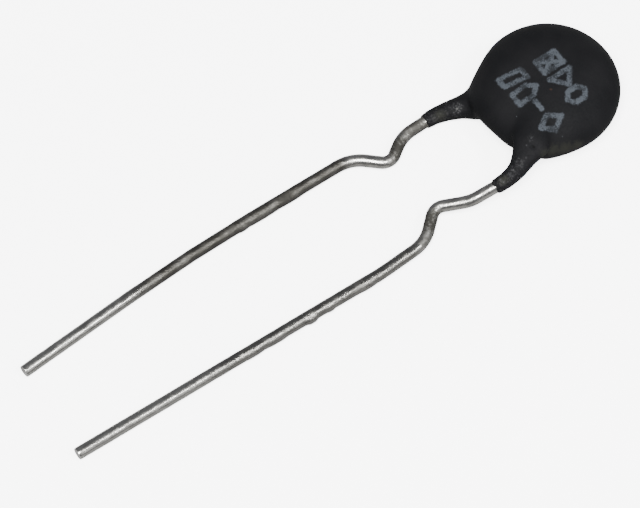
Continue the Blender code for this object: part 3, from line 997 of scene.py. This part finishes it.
def wire_tube(name, path, diameter):
    """A tube along a path, as a mesh with welded ends. The cut tip's face has the second material."""
    length = path_length(path)
    count = math.ceil(length / TUBE_STEP)
    curve = bpy.data.curves.new(name, "CURVE")
    curve.dimensions = "3D"
    curve.bevel_depth = diameter / 2
    curve.bevel_resolution = TUBE_RESOLUTION
    curve.use_fill_caps = True
    spline = curve.splines.new("POLY")
    spline.points.add(count)
    middles = places_along(path, np.linspace(0, length, count + 1))
    for number, (ring, middle) in enumerate(zip(spline.points, middles)):
        ring.co = (*middle, 1)
        ring.radius = TIP_RADII[min(count - number, len(TIP_RADII) - 1)]
    obj = settled(new_object(curve, name), name)
    cage = bmesh.new()
    cage.from_mesh(obj.data)
    bmesh.ops.remove_doubles(cage, verts=cage.verts, dist=WELD_GAP)
    for face in cage.faces:
        if len(face.verts) > 4:
            face.material_index = int((face.calc_center_median() - path[-1]).length < diameter / 2)
    cage.to_mesh(obj.data)
    cage.free()
    return obj


def ripple(mesh, name, path, settings):
    """Gives a wire's tin its ripples and lumps."""
    points = vertex_array(mesh, "co")
    where = nearest_stations(points, path)[0]
    outwards = points - places_along(path, where)
    outwards /= np.linalg.norm(outwards, axis=1)[:, None] + 1e-12
    push = np.zeros(len(points))
    for number, point in enumerate(points):
        here = Vector(point)
        waves = wander(here, *RIPPLES) + 0.6 * wander(here, *SMALL_RIPPLES)
        push[number] = settings.ripple * (waves + 0.7 * wander(here, *LONG_RIPPLES))
    for lead, from_tip, reach, height, direction in TIN_LUMPS:
        if lead == name:
            away = (path_length(path) - where - from_tip * MM) / (reach * MM)
            facing = np.clip(outwards @ np.array(Vector(direction).normalized()), 0, 1)
            push += height * MM * np.exp(-(away**4)) * facing**2
    points += outwards * push[:, None]
    points = np.clip(points, np.array(CAD_BOX[0]), np.array(CAD_BOX[1]))
    mesh.vertices.foreach_set("co", points.ravel())
    mesh.update()


class THERMISTOR_OT_resin(bpy.types.Operator):
    """Adds the dipped resin's skin, with its necks and its worn print"""

    bl_idname = "thermistor.resin"
    bl_label = "Resin skin"

    def execute(self, context):
        settings = context.scene.thermistor_resin
        wire_radius = context.scene.thermistor_wire.diameter / 2
        paths = {name: lead_path(lead, settings.half_height) for name, lead in LEADS.items()}
        mesh = mesh_from(resin_cage(settings, paths, wire_radius), "resin_skin")
        obj = new_object(mesh, "resin_skin_cage")
        soft = obj.modifiers.new("soften", "SUBSURF")
        soft.levels = soft.render_levels = SKIN_LEVELS
        obj = settled(obj, "resin_skin")
        relief(obj.data, settings, paths)
        obj.data.shade_smooth()
        dress(obj.data, resin_material(settings))
        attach(obj, "root")
        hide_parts("resin_coating")
        return {"FINISHED"}


class THERMISTOR_OT_wires(bpy.types.Operator):
    """Adds both tinned wires, with their ripples, lumps and sheared tips"""

    bl_idname = "thermistor.wires"
    bl_label = "Tinned wires"

    def execute(self, context):
        settings = context.scene.thermistor_wire
        middle = context.scene.thermistor_resin.half_height
        tin = tin_material(settings)
        sheared = cut_material(settings)
        for name, lead in LEADS.items():
            path = lead_path(lead, middle)
            obj = wire_tube(name + "_wire", path, settings.diameter)
            ripple(obj.data, name, path, settings)
            obj.data.shade_smooth()
            obj.data.set_sharp_from_angle(angle=math.radians(SHARP_ANGLE))
            dress(obj.data, tin, sheared)
            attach(obj, "root")
            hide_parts(name + "_lead")
        return {"FINISHED"}


# Finishes inside the coat: material, dark and pale colour, metallic, roughness, grain per millimetre
CORE_FINISHES = {
    ("ceramic_disc",):
        ("sintered_oxide", (0.045, 0.042, 0.04, 1), (0.075, 0.07, 0.066, 1), 0.0, 0.7, 9.0),
    ("front_electrode", "back_electrode"):
        ("fired_silver_skin", (0.5, 0.49, 0.47, 1), (0.72, 0.71, 0.68, 1), 1.0, 0.42, 12.0),
    ("front_solder", "back_solder"):
        ("solder_skin", (0.42, 0.43, 0.44, 1), (0.6, 0.61, 0.62, 1), 1.0, 0.3, 4.0),
}
CORE_GRAIN = (4.0, 0.35, 0.65)
CORE_ROUGHNESS_RANGE = 0.15
CORE_BUMP = (0.000008, 0.5)


class THERMISTOR_OT_core(bpy.types.Operator):
    """Gives the ceramic, its silver faces and the solder their finishes"""

    bl_idname = "thermistor.core"
    bl_label = "Core finishes"

    def execute(self, context):
        for nodes, (name, dark, pale, metallic, rough, per_mm) in CORE_FINISHES.items():
            material, tree, shader, point = new_material(name)
            mottle = grain(tree, point, per_mm, *CORE_GRAIN)
            roughness = ranged(tree, mottle, 0.0, 1.0, rough, rough + CORE_ROUGHNESS_RANGE)
            colour = mixed(tree, mottle, dark, pale)
            feed(tree, shader, {"Base Color": colour, "Metallic": metallic, "Roughness": roughness})
            bump(tree, shader, mottle, *CORE_BUMP)
            for node in nodes:
                dress(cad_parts[node].data, material)
        return {"FINISHED"}


# The floor: half its width and its depth under the part, in metres, then its paper
FLOOR_REACH = 0.6
FLOOR_DROP = 0.00001
FLOOR_CELLS = 8
PAPER_GRAIN = (0.8, 3.0, 0.2, 0.8)
PAPER_SHADE = 0.985
PAPER_ROUGHNESS = 0.9
PAPER_SPECULAR = 0.1
# How bright the camera sees the floor, and the colour that it throws back as
FLOOR_GLOW = 4.0
FLOOR_RETURN = (0.3, 0.3, 0.3, 1)
# Camera: focal length and sensor in millimetres, clipping in metres
FOCAL_LENGTH = 500
SENSOR_WIDTH = 36
CLIPPING = (0.01, 10)
# The middle of the view lies this far left of and below the disc's middle, in metres
DISC_MIDDLE = (0, 0, 0.002)
VIEW_LEFT = 0.01432
VIEW_DOWN = 0.01037
# Area lamps aimed at one point: name, watts, width, and place from that point, in metres
LIT_POINT = (0, -0.015, 0)
LAMPS = (
    ("key", 7.0, 0.16, (0.13, -0.11, 0.4)),
    ("fill", 0.5, 0.3, (0.34, 0.1, 0.24)),
    ("gleam", 1.5, 0.08, (0.22, 0.128, 0.37)),
)
ROOM_COLOUR = (0.9, 0.93, 1.0, 1)
ROOM_STRENGTH = 0.5


def backlit(tree, shader):
    """Shows the floor as bright as a lit table, while it throws only a little light back."""
    seen = tree.nodes.new("ShaderNodeLightPath").outputs["Is Camera Ray"]
    feed(tree, shader, {"Emission Color": (1, 1, 1, 1), "Emission Strength": FLOOR_GLOW})
    dim = place(tree, "ShaderNodeBsdfDiffuse", {"Color": FLOOR_RETURN})
    both = place(tree, "ShaderNodeMixShader", {0: seen, 1: dim.outputs[0], 2: shader.outputs[0]})
    tree.links.new(both.outputs[0], tree.nodes["Material Output"].inputs["Surface"])


def pale_floor(settings):
    """A plain floor of pale paper, just under the part."""
    cage = bmesh.new()
    bmesh.ops.create_grid(cage, x_segments=FLOOR_CELLS, y_segments=FLOOR_CELLS, size=FLOOR_REACH)
    floor = new_object(mesh_from(cage, "floor"), "floor")
    floor.location.z = -FLOOR_DROP
    material, tree, shader, point = new_material("floor_paper")
    shade = darker(settings.floor, PAPER_SHADE)
    colour = mixed(tree, grain(tree, point, *PAPER_GRAIN), settings.floor[:], shade)
    paper = {"Base Color": colour, "Roughness": PAPER_ROUGHNESS, "Specular IOR Level": PAPER_SPECULAR}
    feed(tree, shader, paper)
    backlit(tree, shader)
    dress(floor.data, material)
    return floor


def photo_camera(settings):
    """The camera at the photo's angle, far off with a long lens."""
    turn, tilt = settings.azimuth, settings.elevation
    back = Vector((math.sin(turn) * math.cos(tilt), -math.cos(turn) * math.cos(tilt), math.sin(tilt)))
    right = Vector((math.cos(turn), math.sin(turn), 0))
    up = back.cross(right)
    lens = bpy.data.cameras.new("camera")
    lens.lens = FOCAL_LENGTH
    lens.sensor_width = SENSOR_WIDTH
    lens.sensor_fit = "HORIZONTAL"
    lens.clip_start, lens.clip_end = CLIPPING
    camera = new_object(lens, "camera")
    aim = Vector(DISC_MIDDLE) - right * VIEW_LEFT - up * VIEW_DOWN
    camera.location = aim + back * settings.distance
    camera.rotation_euler = Matrix((right, up, back)).transposed().to_euler()
    return camera


def soft_light(name, watts, width, away, factor):
    """A square lamp that shines on the part."""
    lamp = bpy.data.lights.new(name, "AREA")
    lamp.energy = watts * factor
    lamp.size = width
    obj = new_object(lamp, name)
    obj.location = Vector(LIT_POINT) + Vector(away)
    obj.rotation_euler = (-Vector(away)).to_track_quat("-Z", "Y").to_euler()


def room_light():
    """A faint light from all sides."""
    world = bpy.data.worlds.new("studio")
    world.use_nodes = True
    tree = world.node_tree
    feed(tree, tree.nodes["Background"], {"Color": ROOM_COLOUR, "Strength": ROOM_STRENGTH})
    return world


class THERMISTOR_OT_stage(bpy.types.Operator):
    """Adds the pale floor, the soft lights and the camera"""

    bl_idname = "thermistor.stage"
    bl_label = "Stage"

    def execute(self, context):
        settings = context.scene.thermistor_stage
        floor = pale_floor(settings)
        context.scene.camera = photo_camera(settings)
        for lamp in LAMPS:
            soft_light(*lamp, settings.light)
        context.scene.world = room_light()
        return {"FINISHED"}


class THERMISTOR_PT_panel(bpy.types.Panel):
    """Sizes, colours and pieces of the thermistor"""

    bl_idname = "THERMISTOR_PT_panel"
    bl_label = "Disc thermistor"
    bl_space_type = "VIEW_3D"
    bl_region_type = "UI"
    bl_category = "Thermistor"

    def draw(self, context):
        for holder, group in SETTINGS:
            box = self.layout.box()
            box.label(text=group.__doc__)
            for name in group.__annotations__:
                box.prop(getattr(context.scene, holder), name)
        for operator in PIECES:
            self.layout.operator(operator.bl_idname)


PIECES = (THERMISTOR_OT_resin, THERMISTOR_OT_wires, THERMISTOR_OT_core, THERMISTOR_OT_stage)
SETTINGS = (
    ("thermistor_resin", ResinSettings),
    ("thermistor_wire", WireSettings),
    ("thermistor_stage", StageSettings),
)


def register():
    """Registers the settings, the operators and the panel."""
    for name, group in SETTINGS:
        bpy.utils.register_class(group)
        setattr(bpy.types.Scene, name, PointerProperty(type=group))
    for operator in PIECES:
        bpy.utils.register_class(operator)
    bpy.utils.register_class(THERMISTOR_PT_panel)


def unregister():
    """Takes them away again, last first."""
    bpy.utils.unregister_class(THERMISTOR_PT_panel)
    for operator in reversed(PIECES):
        bpy.utils.unregister_class(operator)
    for name, group in reversed(SETTINGS):
        delattr(bpy.types.Scene, name)
        bpy.utils.unregister_class(group)


def main():
    """Builds the dressed thermistor on its stage."""
    register()
    bpy.ops.thermistor.resin()
    bpy.ops.thermistor.wires()
    bpy.ops.thermistor.core()
    bpy.ops.thermistor.stage()


if __name__ == "__main__":
    main()
